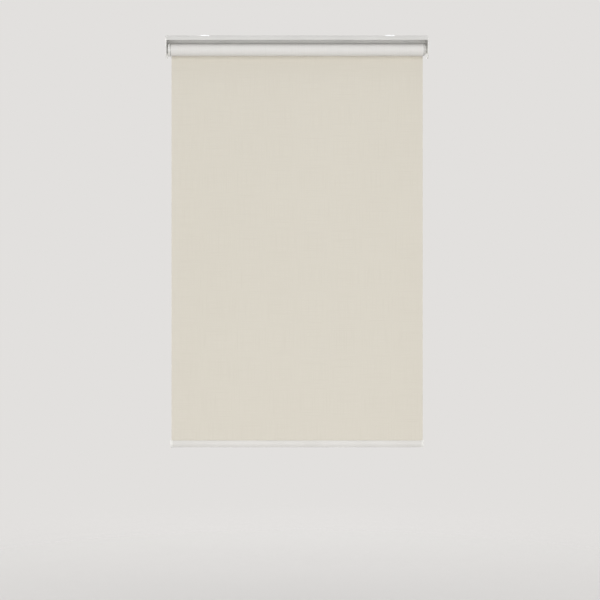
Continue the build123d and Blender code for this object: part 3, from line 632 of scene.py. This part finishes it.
@dataclass
class Headrail:
    """The extrusion that closes the top, its clips, end brackets and their screws."""

    nodes: dict[str, Object]
    rail_edge: float = 0.15 * MM
    bracket_edge: float = 0.2 * MM
    clip_edge: float = 0.13 * MM
    clip_steps: int = 2
    half_width: float = 455.0 * MM
    screw_height: float = -8.65 * MM
    screw_length: float = 16.0 * MM
    head_radius: float = 3.5 * MM
    head: float = 1.6 * MM
    head_sides: int = 40
    head_levels: int = 4
    rim_from: float = 0.45  # share of the head's height, from its middle, above which its rim draws in
    rim_draw: float = 0.9
    recess_span: float = 3.6 * MM
    recess_slot: float = 1.0 * MM
    recess_height: float = 1.8 * MM
    recess_turn: float = 0.4  # radians
    core_radius: float = 1.6 * MM
    core_sides: int = 28
    thread_pitch: float = 1.4 * MM
    thread_ridge: float = 0.36 * MM
    thread_points: int = 24
    thread_sides: int = 4
    tip: float = 0.4 * MM

    def build(self) -> None:
        """Makes and dresses every piece of the fixed frame."""
        # the rail's coat is drawn darker than the hem bar's same coat, as painted shade
        rail = eased_copy(self.nodes["headrail"], "rail_profile", RAIL_WHITE_PAINTED_SHADE, self.rail_edge)
        stand_for(rail, Body.FRAME, "powder_coated_aluminium", "headrail")
        for side in Side:
            word = side.name.lower()
            node = f"{word}_end_bracket"
            plate = eased_copy(self.nodes[node], f"bracket_{word}", ABS_WHITE, self.bracket_edge)
            stand_for(plate, Body.FRAME, "white_plastic", node)
            node = f"mounting_clip_{word}"
            # the clips' zinc is drawn dark, as painted shade in the gap above the headrail
            clip = eased_copy(
                self.nodes[node], f"clip_{word}", ZINC_STEEL_PAINTED_SHADE, self.clip_edge, self.clip_steps
            )
            stand_for(clip, Body.FRAME, "zinc_plated_steel", node)
        stand_for(self.screws(), Body.FRAME, "zinc_plated_steel", "bracket_screws")

    def screws(self) -> Object:
        """Sets a cross-recessed screw in each bracket, its head outwards.

        Returns:
            Both screws as one piece.
        """
        tree, given = new_tree(
            "bracket screws",
            {
                "Head Radius": Socket.FLOAT,
                "Core Radius": Socket.FLOAT,
                "Length": Socket.FLOAT,
                "Half Width": Socket.FLOAT,
                "Height": Socket.FLOAT,
                "Finish": Socket.MATERIAL,
            },
        )
        pieces = [self.screw_head(tree, given), *self.screw_shank(tree, given)]
        screw = add_node(tree, "GeometryNodeJoinGeometry", {0: pieces})
        coat = {0: screw.outputs[0], "Material": given["Finish"]}
        plated = add_node(tree, "GeometryNodeSetMaterial", coat)
        ends = add_node(tree, "GeometryNodeMeshLine", {"Count": len(Side)})
        number = add_node(tree, "GeometryNodeInputIndex")
        sign = {0: number.outputs[0], 1: 2.0, 2: -1.0}  # 0 and 1 become -1 and 1
        side = add_node(tree, "ShaderNodeMath", sign, operation="MULTIPLY_ADD").outputs[0]
        reach = add_node(tree, "ShaderNodeMath", {0: side, 1: given["Half Width"]}, operation="MULTIPLY")
        spot = add_node(tree, "ShaderNodeCombineXYZ", {0: reach.outputs[0], 2: given["Height"]})
        spread = {0: ends.outputs[0], "Position": spot.outputs[0]}
        places = add_node(tree, "GeometryNodeSetPosition", spread)
        facing = add_node(tree, "ShaderNodeMath", {0: side, 1: pi / 2}, operation="MULTIPLY")
        aim = add_node(tree, "ShaderNodeCombineXYZ", {1: facing.outputs[0]})
        set_in = {"Points": places.outputs[0], "Instance": plated.outputs[0], "Rotation": aim.outputs[0]}
        screws = add_node(tree, "GeometryNodeInstanceOnPoints", set_in)
        return grown(
            "screws",
            tree,
            screws.outputs[0],
            {
                "Head Radius": self.head_radius,
                "Core Radius": self.core_radius,
                "Length": self.screw_length,
                "Half Width": self.half_width,
                "Height": self.screw_height,
                "Finish": ZINC_STEEL_PAINTED_SHADE.material(),
            },
        )

    def screw_head(self, tree: NodeTree, given: Any) -> NodeSocket:
        """Makes a low round head, draws its rim in and cuts the cross recess.

        Args:
            tree: The screws' tree.
            given: Its inputs.

        Returns:
            The head, with its top at the origin.
        """
        size = {
            "Vertices": self.head_sides,
            "Side Segments": self.head_levels,
            "Radius": given["Head Radius"],
            "Depth": self.head,
        }
        disc = add_node(tree, "GeometryNodeMeshCylinder", size)
        point = add_node(tree, "GeometryNodeInputPosition").outputs[0]
        level = add_node(tree, "ShaderNodeSeparateXYZ", {0: point})
        rim = add_node(tree, "FunctionNodeCompare", {0: level.outputs[2], 1: self.rim_from * self.head})
        eased = {0: point, 1: (self.rim_draw, self.rim_draw, 1.0)}
        drawn_in = add_node(tree, "ShaderNodeVectorMath", eased, operation="MULTIPLY")
        domed = {0: disc.outputs[0], "Selection": rim.outputs[0], "Position": drawn_in.outputs[0]}
        cap = add_node(tree, "GeometryNodeSetPosition", domed)
        arms = []
        for length, width in (
            (self.recess_span, self.recess_slot),
            (self.recess_slot, self.recess_span),
        ):
            arm = {"Size": (length, width, self.recess_height)}
            arms.append(add_node(tree, "GeometryNodeMeshCube", arm).outputs[0])
        cross = add_node(tree, "GeometryNodeJoinGeometry", {0: arms})
        raised = {
            0: cross.outputs[0],
            "Translation": (0.0, 0.0, self.recess_height / 2),
            "Rotation": (0.0, 0.0, self.recess_turn),
        }
        driver = add_node(tree, "GeometryNodeTransform", raised)
        cut = {"Mesh 1": cap.outputs[0], "Mesh 2": driver.outputs[0]}
        recessed = add_node(tree, "GeometryNodeMeshBoolean", cut, operation="DIFFERENCE", solver="EXACT")
        recessed.inputs["Self Intersection"].default_value = True
        sunk = {0: recessed.outputs[0], "Translation": (0.0, 0.0, -self.head / 2)}
        return add_node(tree, "GeometryNodeTransform", sunk).outputs[0]

    def screw_shank(self, tree: NodeTree, given: Any) -> list[NodeSocket]:
        """Makes the core of a screw and the thread that runs round it.

        Args:
            tree: The screws' tree.
            given: Its inputs.

        Returns:
            The core and the thread, below the origin.
        """
        size = {"Vertices": self.core_sides, "Radius": given["Core Radius"], "Depth": given["Length"]}
        core = add_node(tree, "GeometryNodeMeshCylinder", size)
        lowered = {0: core.outputs[0], "Translation": (0.0, 0.0, -self.screw_length / 2)}
        shank = add_node(tree, "GeometryNodeTransform", lowered)
        threaded = self.screw_length - self.head - self.thread_pitch
        run = {
            "Resolution": self.thread_points,
            "Rotations": threaded / self.thread_pitch,
            "Start Radius": given["Core Radius"],
            "End Radius": given["Core Radius"],
            "Height": threaded,
        }
        helix = add_node(tree, "GeometryNodeCurveSpiral", run)
        flank = {"Resolution": self.thread_sides, "Radius": self.thread_ridge}
        section = add_node(tree, "GeometryNodeCurvePrimitiveCircle", flank)
        ridge = {"Curve": helix.outputs[0], "Profile Curve": section.outputs[0], "Fill Caps": True}
        turned = add_node(tree, "GeometryNodeCurveToMesh", ridge)
        lowered = {0: turned.outputs[0], "Translation": (0.0, 0.0, self.tip - self.screw_length)}
        thread = add_node(tree, "GeometryNodeTransform", lowered)
        return [shank.outputs[0], thread.outputs[0]]


@dataclass
class Roller:
    """The tube with the cloth wound on it and a plug in each end."""

    nodes: dict[str, Object]
    inner_radius: float = 20.3 * MM
    turns: float = 2.5
    turn_points: int = 72
    edge_drift: float = 0.25 * MM
    drift_rate: float = 41.0  # radians of the drift's wave for each metre of cloth
    plug_edge: float = 0.2 * MM

    def build(self) -> None:
        """Makes and dresses every piece that turns."""
        roll = self.wound_cloth()
        stand_for(roll, Body.ROLLER, "fabric_back", "fabric_roll")
        for word in ("drive", "idle"):
            node = f"{word}_plug"
            plug = eased_copy(self.nodes[node], f"plug_{word}_end", ABS_WHITE, self.plug_edge)
            stand_for(plug, Body.ROLLER, "white_plastic", node)
        for name, finish in (
            # the tube's dark grey is painted shade for the gaps at the roll's ends
            ("roller_tube", MILL_ALUMINIUM_PAINTED_SHADE),
            ("tube_spline", PVC_STRIP),
            ("rod_support", ACETAL_GREY),
            ("spring_seat", ACETAL_GREY),
            ("idle_pin", ZINC_STEEL_PAINTED_SHADE),
        ):
            dress(self.nodes[name], finish)

    def wound_cloth(self) -> Object:
        """Makes the roll, whose side away from the axis is the cloth's white back.

        Its edges drift a little to and fro, and its weave is laid out along the spiral.

        Returns:
            The roll.
        """
        tree, given = new_tree(
            "wound cloth",
            {
                "Outer Radius": Socket.FLOAT,
                "Inner Radius": Socket.FLOAT,
                "Turns": Socket.FLOAT,
                "Width": Socket.FLOAT,
                "Thickness": Socket.FLOAT,
                "Drift": Socket.FLOAT,
                "Place": Socket.PLACE,
                "Back": Socket.MATERIAL,
                "Front": Socket.MATERIAL,
            },
        )
        band = self.band(tree, given)
        wound = add_node(tree, "GeometryNodeInputNamedAttribute", {"Name": "run"}).outputs[0]
        phase = add_node(tree, "ShaderNodeMath", {0: wound, 1: self.drift_rate}, operation="MULTIPLY")
        sway = add_node(tree, "ShaderNodeMath", {0: phase.outputs[0]}, operation="SINE")
        strays = {0: sway.outputs[0], 1: given["Drift"]}
        drift = add_node(tree, "ShaderNodeMath", strays, operation="MULTIPLY")
        aside = add_node(tree, "ShaderNodeCombineXYZ", {2: drift.outputs[0]})
        moved = {0: band, "Offset": aside.outputs[0]}
        strayed = add_node(tree, "GeometryNodeSetPosition", moved)
        point = add_node(tree, "GeometryNodeInputPosition").outputs[0]
        across = add_node(tree, "ShaderNodeSeparateXYZ", {0: point})
        unrolled = add_node(tree, "ShaderNodeCombineXYZ", {0: across.outputs[2], 1: wound})
        charted = {0: strayed.outputs[0], "Name": "UVMap", "Value": unrolled.outputs[0]}
        mapped = add_node(
            tree, "GeometryNodeStoreNamedAttribute", charted, data_type="FLOAT2", domain="CORNER"
        )
        facing = add_node(tree, "GeometryNodeInputNormal")
        outward = {0: facing.outputs[0], 1: point}
        away = add_node(tree, "ShaderNodeVectorMath", outward, operation="DOT_PRODUCT")
        is_back = add_node(tree, "FunctionNodeCompare", {0: away.outputs["Value"], 1: 0.0})
        faced = {0: mapped.outputs[0], "Material": given["Front"]}
        front = add_node(tree, "GeometryNodeSetMaterial", faced)
        backed = {0: front.outputs[0], "Selection": is_back.outputs[0], "Material": given["Back"]}
        both = add_node(tree, "GeometryNodeSetMaterial", backed)
        lying = {0: both.outputs[0], "Translation": given["Place"], "Rotation": ALONG_X}
        roll = add_node(tree, "GeometryNodeTransform", lying)
        return grown(
            "wound_cloth",
            tree,
            roll.outputs[0],
            {
                "Outer Radius": ROLL_RADIUS,
                "Inner Radius": self.inner_radius,
                "Turns": self.turns,
                "Width": CLOTH_WIDTH,
                "Thickness": CLOTH_THICKNESS,
                "Drift": self.edge_drift,
                "Place": (0.0, 0.0, AXIS_HEIGHT),
                "Back": WHITE_WOUND.material(),
                "Front": BEIGE_WOUND.material(),
            },
        )

    def band(self, tree: NodeTree, given: Any) -> NodeSocket:
        """Sweeps the cloth's section along a spiral that starts at the back and goes over the top.

        Args:
            tree: The roll's tree.
            given: Its inputs.

        Returns:
            The band, each point with its run: the length of cloth up to it.
        """
        winding = {
            "Resolution": self.turn_points,
            "Rotations": given["Turns"],
            "Start Radius": given["Outer Radius"],
            "End Radius": given["Inner Radius"],
            "Height": 0.0,
        }
        spiral = add_node(tree, "GeometryNodeCurveSpiral", winding)
        upright = add_node(tree, "GeometryNodeSetCurveNormal", {0: spiral.outputs[0]}, mode="Z_UP")
        run = add_node(tree, "GeometryNodeSplineParameter").outputs["Length"]
        measured = {0: upright.outputs[0], "Name": "run", "Value": run}
        path = add_node(tree, "GeometryNodeStoreNamedAttribute", measured)
        size = {"Width": given["Thickness"], "Height": given["Width"]}
        section = add_node(tree, "GeometryNodeCurvePrimitiveQuadrilateral", size)
        sweep = {"Curve": path.outputs[0], "Profile Curve": section.outputs[0], "Fill Caps": True}
        return add_node(tree, "GeometryNodeCurveToMesh", sweep).outputs[0]


@dataclass(frozen=True)
class Coil:
    """A spring of round wire along X, with straight legs at both ends."""

    name: str
    start: Vector
    length: float
    radius: float
    wire: float
    turns: int
    leg: float
    points: int
    sides: int = 10

    def build(self) -> Object:
        """Bends the wire along a line: straight in the legs, turning evenly between them.

        Returns:
            The spring.
        """
        tree, given = new_tree(
            self.name,
            {
                "Length": Socket.FLOAT,
                "Radius": Socket.FLOAT,
                "Wire": Socket.FLOAT,
                "Turns": Socket.FLOAT,
                "Leg": Socket.FLOAT,
                "Points": Socket.COUNT,
                "Place": Socket.PLACE,
                "Finish": Socket.MATERIAL,
            },
        )
        line = add_node(tree, "GeometryNodeCurvePrimitiveLine")
        parts = {0: line.outputs[0], "Count": given["Points"]}
        points = add_node(tree, "GeometryNodeResampleCurve", parts)
        factor = add_node(tree, "GeometryNodeSplineParameter").outputs["Factor"]
        back = add_node(tree, "ShaderNodeMath", {0: given["Leg"], 1: -1.0}, operation="MULTIPLY")
        far = add_node(tree, "ShaderNodeMath", {0: given["Leg"], 1: given["Length"]}, operation="ADD")
        run = add_node(tree, "ShaderNodeMapRange", {0: factor, 3: back.outputs[0], 4: far.outputs[0]})
        sweep = add_node(tree, "ShaderNodeMath", {0: given["Turns"], 1: 2 * pi}, operation="MULTIPLY")
        bent = {0: run.outputs[0], 2: given["Length"], 4: sweep.outputs[0]}
        angle = add_node(tree, "ShaderNodeMapRange", bent)
        spoke = add_node(tree, "ShaderNodeCombineXYZ", {0: given["Radius"], 2: run.outputs[0]})
        turning = {"Vector": spoke.outputs[0], "Angle": angle.outputs[0]}
        place = add_node(tree, "ShaderNodeVectorRotate", turning, rotation_type="Z_AXIS")
        moved = {0: points.outputs[0], "Position": place.outputs[0]}
        path = add_node(tree, "GeometryNodeSetPosition", moved)
        gauge = {"Resolution": self.sides, "Radius": given["Wire"]}
        section = add_node(tree, "GeometryNodeCurvePrimitiveCircle", gauge)
        drawn = {"Curve": path.outputs[0], "Profile Curve": section.outputs[0], "Fill Caps": True}
        wire = add_node(tree, "GeometryNodeCurveToMesh", drawn)
        laid = {0: wire.outputs[0], "Translation": given["Place"], "Rotation": ALONG_X}
        lying = add_node(tree, "GeometryNodeTransform", laid)
        oiled = {0: lying.outputs[0], "Material": given["Finish"]}
        steel = add_node(tree, "GeometryNodeSetMaterial", oiled)
        return grown(
            self.name,
            tree,
            steel.outputs[0],
            {
                "Length": self.length,
                "Radius": self.radius,
                "Wire": self.wire,
                "Turns": float(self.turns),
                "Leg": self.leg,
                "Points": self.points,
                "Place": self.start,
                "Finish": SPRING_STEEL.material(),
            },
        )

    def join(self, spring: Object, first: Body, last: Body, node: str) -> None:
        """Puts the spring in place of its solid, fixed in the part's frame; the two bodies are only named
        in the log.

        Args:
            spring: The finished spring.
            first: Body at its start.
            last: Body at its other end.
            node: Solid that it stands for.
        """
        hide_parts(node)
        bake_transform(spring)
        LOG.info("%s works between %s and %s", spring.name, first.value, last.value)


@dataclass
class SpringMotor:
    """The balance spring in the drive end and the small spring behind the idle pin."""

    nodes: dict[str, Object]
    balance: Coil = Coil(
        name="balance_spring",
        start=Vector((-400.5 * MM, 0.0, AXIS_HEIGHT)),
        length=70.0 * MM,
        radius=10.0 * MM,
        wire=1.0 * MM,
        turns=26,
        leg=10.5 * MM,
        points=960,
    )
    push: Coil = Coil(
        name="push_spring",
        start=Vector((412.1 * MM, 0.0, AXIS_HEIGHT)),
        length=21.1 * MM,
        radius=4.5 * MM,
        wire=0.5 * MM,
        turns=9,
        leg=0.0,
        points=240,
    )

    def build(self) -> None:
        """Makes both springs and dresses what holds them."""
        self.balance.join(self.balance.build(), Body.ROLLER, Body.FRAME, "torsion_spring")
        self.push.join(self.push.build(), Body.ROLLER, Body.PIN, "pin_spring")
        for name, finish in (
            ("motor_spindle", ACETAL_GREY),
            ("spring_anchor", ACETAL_GREY),
            ("retaining_clip", SPRING_STEEL),
            ("spring_rod", ZINC_STEEL_PAINTED_SHADE),
        ):
            dress(self.nodes[name], finish)


@dataclass
class ClothPanel:
    """The cloth that hangs from the back of the roll, with its beige face to the front."""

    y: float = ROLL_RADIUS
    top: float = AXIS_HEIGHT
    bottom: float = -1415.45 * MM
    lead: float = 2.5 * MM
    tail: float = 14.0 * MM
    columns: int = 44

    def build(self) -> None:
        """Makes the panel as a thin closed sheet with rows of points only at its two ends.

        The panel stays fixed in the part's own frame.
        """
        shape = bmesh.new()
        rows = (self.top, self.top - self.lead, self.bottom + self.tail, self.bottom)
        for number, depth in enumerate((-CLOTH_THICKNESS / 2, CLOTH_THICKNESS / 2)):
            grid = [
                [
                    shape.verts.new(((step / self.columns - 0.5) * CLOTH_WIDTH, self.y + depth, height))
                    for step in range(self.columns + 1)
                ]
                for height in rows
            ]
            for upper, lower in zip(grid, grid[1:]):
                for step in range(self.columns):
                    corners = (upper[step], lower[step], lower[step + 1], upper[step + 1])
                    shape.faces.new(corners).material_index = number
        bmesh.ops.bridge_loops(shape, edges=[edge for edge in shape.edges if edge.is_boundary])
        bmesh.ops.recalc_face_normals(shape, faces=shape.faces[:])
        panel = empty_piece("hanging_cloth")
        shape.to_mesh(panel.data)
        shape.free()
        for finish in (BEIGE_FLAT, WHITE_FLAT):
            panel.data.materials.append(finish.material())
        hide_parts("fabric_panel")
        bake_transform(panel)
        LOG.info("%s hangs from roll to hem, %d faces", panel.name, len(panel.data.polygons))


@dataclass
class HemBar:
    """The crowned bar in the lower edge of the cloth, with its strip and end caps."""

    nodes: dict[str, Object]
    bar_edge: float = 0.5 * MM
    cap_edge: float = 0.15 * MM
    cap_steps: int = 4

    def build(self) -> None:
        """Makes and dresses the pieces that hang on the cloth."""
        bar = eased_copy(self.nodes["hem_bar"], "hem_profile", HEM_WHITE, self.bar_edge)
        stand_for(bar, Body.HEM, "powder_coated_aluminium", "hem_bar")
        for side in Side:
            word = side.name.lower()
            node = f"hem_cap_{word}"
            cap = eased_copy(
                self.nodes[node], f"end_cap_{word}", ABS_WHITE, self.cap_edge, self.cap_steps
            )
            stand_for(cap, Body.HEM, "white_plastic", node)
        dress(self.nodes["hem_spline"], PVC_STRIP)


@dataclass(frozen=True)
class Lamp:
    """A soft rectangular lamp, with its power in watts."""

    name: str
    place: tuple[float, float, float]
    size: tuple[float, float]
    power: float

    def at_end(self, side: Side) -> "Lamp":
        """Gives the same lamp at one end of the shade.

        Args:
            side: The end.

        Returns:
            The lamp, named for that end.
        """
        x, y, z = self.place
        return replace(self, name=f"{side.name.lower()}_{self.name}", place=(side.value * x, y, z))

    def hang(self, aim: tuple[float, float, float]) -> None:
        """Hangs the lamp, out of the camera's sight.

        Args:
            aim: Point that it shines on.
        """
        light = bpy.data.lights.new(self.name, "AREA")
        light.shape = "RECTANGLE"
        light.size, light.size_y = self.size
        light.energy = self.power
        lamp = bpy.data.objects.new(self.name, light)
        lamp.location = self.place
        lamp.visible_camera = False
        beam = Vector(aim) - Vector(self.place)
        lamp.rotation_euler = beam.to_track_quat("-Z", "Y").to_euler()
        bpy.context.scene.collection.objects.link(lamp)


@dataclass
class Studio:
    """The pale floor, the soft light and the camera."""

    floor_height: float = -2.1
    floor_radius: float = 3.2
    floor_sides: int = 96
    floor_colour: str = "#e4e2e0"
    floor_roughness: float = 0.9
    fade_from: float = 0.4
    backdrop: str = "#e2e0de"
    fill_colour: str = "#ffffff"
    fill: float = 0.30
    aim: tuple[float, float, float] = (0.0, 0.0, -0.6)
    lamps: tuple[Lamp, ...] = (
        Lamp("front_light", place=(0.0, -5.0, 0.95), size=(6.0, 0.9), power=50.0),
        Lamp("low_light", place=(0.0, -5.0, -1.25), size=(6.0, 0.9), power=125.0),
        Lamp("top_light", place=(0.0, -0.8, 2.6), size=(2.2, 2.2), power=20.0),
        Lamp("back_light", place=(0.0, 4.2, -0.2), size=(5.0, 1.6), power=100.0),
    )
    end_lamps: tuple[Lamp, ...] = (
        Lamp("front_light", place=(4.2, -2.6, -0.3), size=(1.6, 1.6), power=16.0),
        Lamp("end_light", place=(5.0, 0.2, -0.3), size=(1.6, 1.6), power=45.0),
    )
    camera_place: tuple[float, float, float] = (0.010, -4.529, -0.9178)
    lens: float = 78.1
    sensor: float = 36.0

    def build(self) -> None:
        """Sets the floor, the world, the lamps and the camera."""
        self.floor()
        self.world()
        for lamp in self.lamps:
            lamp.hang(self.aim)
        for side in Side:
            for lamp in self.end_lamps:
                lamp.at_end(side).hang(self.aim)
        self.camera()
        bpy.context.scene.view_settings.view_transform = "Standard"

    def camera(self) -> None:
        """Sets a level camera in front of the shade."""
        view = bpy.data.cameras.new("photo_view")
        view.lens = self.lens
        view.sensor_width = self.sensor
        camera = bpy.data.objects.new("photo_view", view)
        camera.location = self.camera_place
        camera.rotation_euler = (pi / 2, 0.0, 0.0)
        bpy.context.scene.collection.objects.link(camera)
        bpy.context.scene.camera = camera

    def floor(self) -> None:
        """Lays a round pale floor that fades out towards its edge."""
        floor = empty_piece("floor")
        shape = bmesh.new()
        bmesh.ops.create_circle(
            shape, cap_ends=True, segments=self.floor_sides, radius=self.floor_radius
        )
        lowered = Vector((0.0, 0.0, self.floor_height))
        bmesh.ops.translate(shape, vec=lowered, verts=shape.verts[:])
        shape.to_mesh(floor.data)
        shape.free()
        paint = bpy.data.materials.new("matt_floor_paint")
        paint.use_nodes = True
        tree = paint.node_tree
        shader = tree.nodes["Principled BSDF"]
        shader.inputs["Base Color"].default_value = linear(self.floor_colour)
        shader.inputs["Roughness"].default_value = self.floor_roughness
        place = add_node(tree, "ShaderNodeTexCoord").outputs["Object"]
        level = {0: place, 1: (1.0, 1.0, 0.0)}
        flat = add_node(tree, "ShaderNodeVectorMath", level, operation="MULTIPLY")
        reach = add_node(tree, "ShaderNodeVectorMath", {0: flat.outputs[0]}, operation="LENGTH")
        faded = {0: reach.outputs["Value"], 1: self.fade_from, 2: self.floor_radius}
        share = add_node(tree, "ShaderNodeMapRange", faded, interpolation_type="SMOOTHSTEP")
        clear = add_node(tree, "ShaderNodeBsdfTransparent")
        mixed = {0: share.outputs[0], 1: shader.outputs[0], 2: clear.outputs[0]}
        mix = add_node(tree, "ShaderNodeMixShader", mixed)
        tree.links.new(mix.outputs[0], tree.nodes["Material Output"].inputs["Surface"])
        floor.data.materials.append(paint)

    def world(self) -> None:
        """Gives even light from all sides, and a pale backdrop to the camera and in reflections."""
        world = bpy.data.worlds.new("pale_room")
        bpy.context.scene.world = world
        world.use_nodes = True
        tree = world.node_tree
        tree.nodes.clear()
        path = add_node(tree, "ShaderNodeLightPath")
        seen = path.outputs["Is Camera Ray"]
        for ray in ("Is Glossy Ray", "Is Transmission Ray"):
            either = {0: seen, 1: path.outputs[ray]}
            seen = add_node(tree, "ShaderNodeMath", either, operation="MAXIMUM").outputs[0]
        even = {"Color": linear(self.fill_colour), "Strength": self.fill}
        light = add_node(tree, "ShaderNodeBackground", even)
        pale = {"Color": linear(self.backdrop), "Strength": 1.0}
        shown = add_node(tree, "ShaderNodeBackground", pale)
        mixed = {0: seen, 1: light.outputs[0], 2: shown.outputs[0]}
        mix = add_node(tree, "ShaderNodeMixShader", mixed)
        add_node(tree, "ShaderNodeOutputWorld", {0: mix.outputs[0]})


def main() -> None:
    """Builds the shade's pieces in order."""
    logging.basicConfig(level=logging.INFO, format="%(name)s: %(message)s")
    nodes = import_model()["nodes"]
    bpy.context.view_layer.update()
    Headrail(nodes).build()
    Roller(nodes).build()
    SpringMotor(nodes).build()
    ClothPanel().build()
    HemBar(nodes).build()
    Studio().build()


if __name__ == "__main__":
    main()
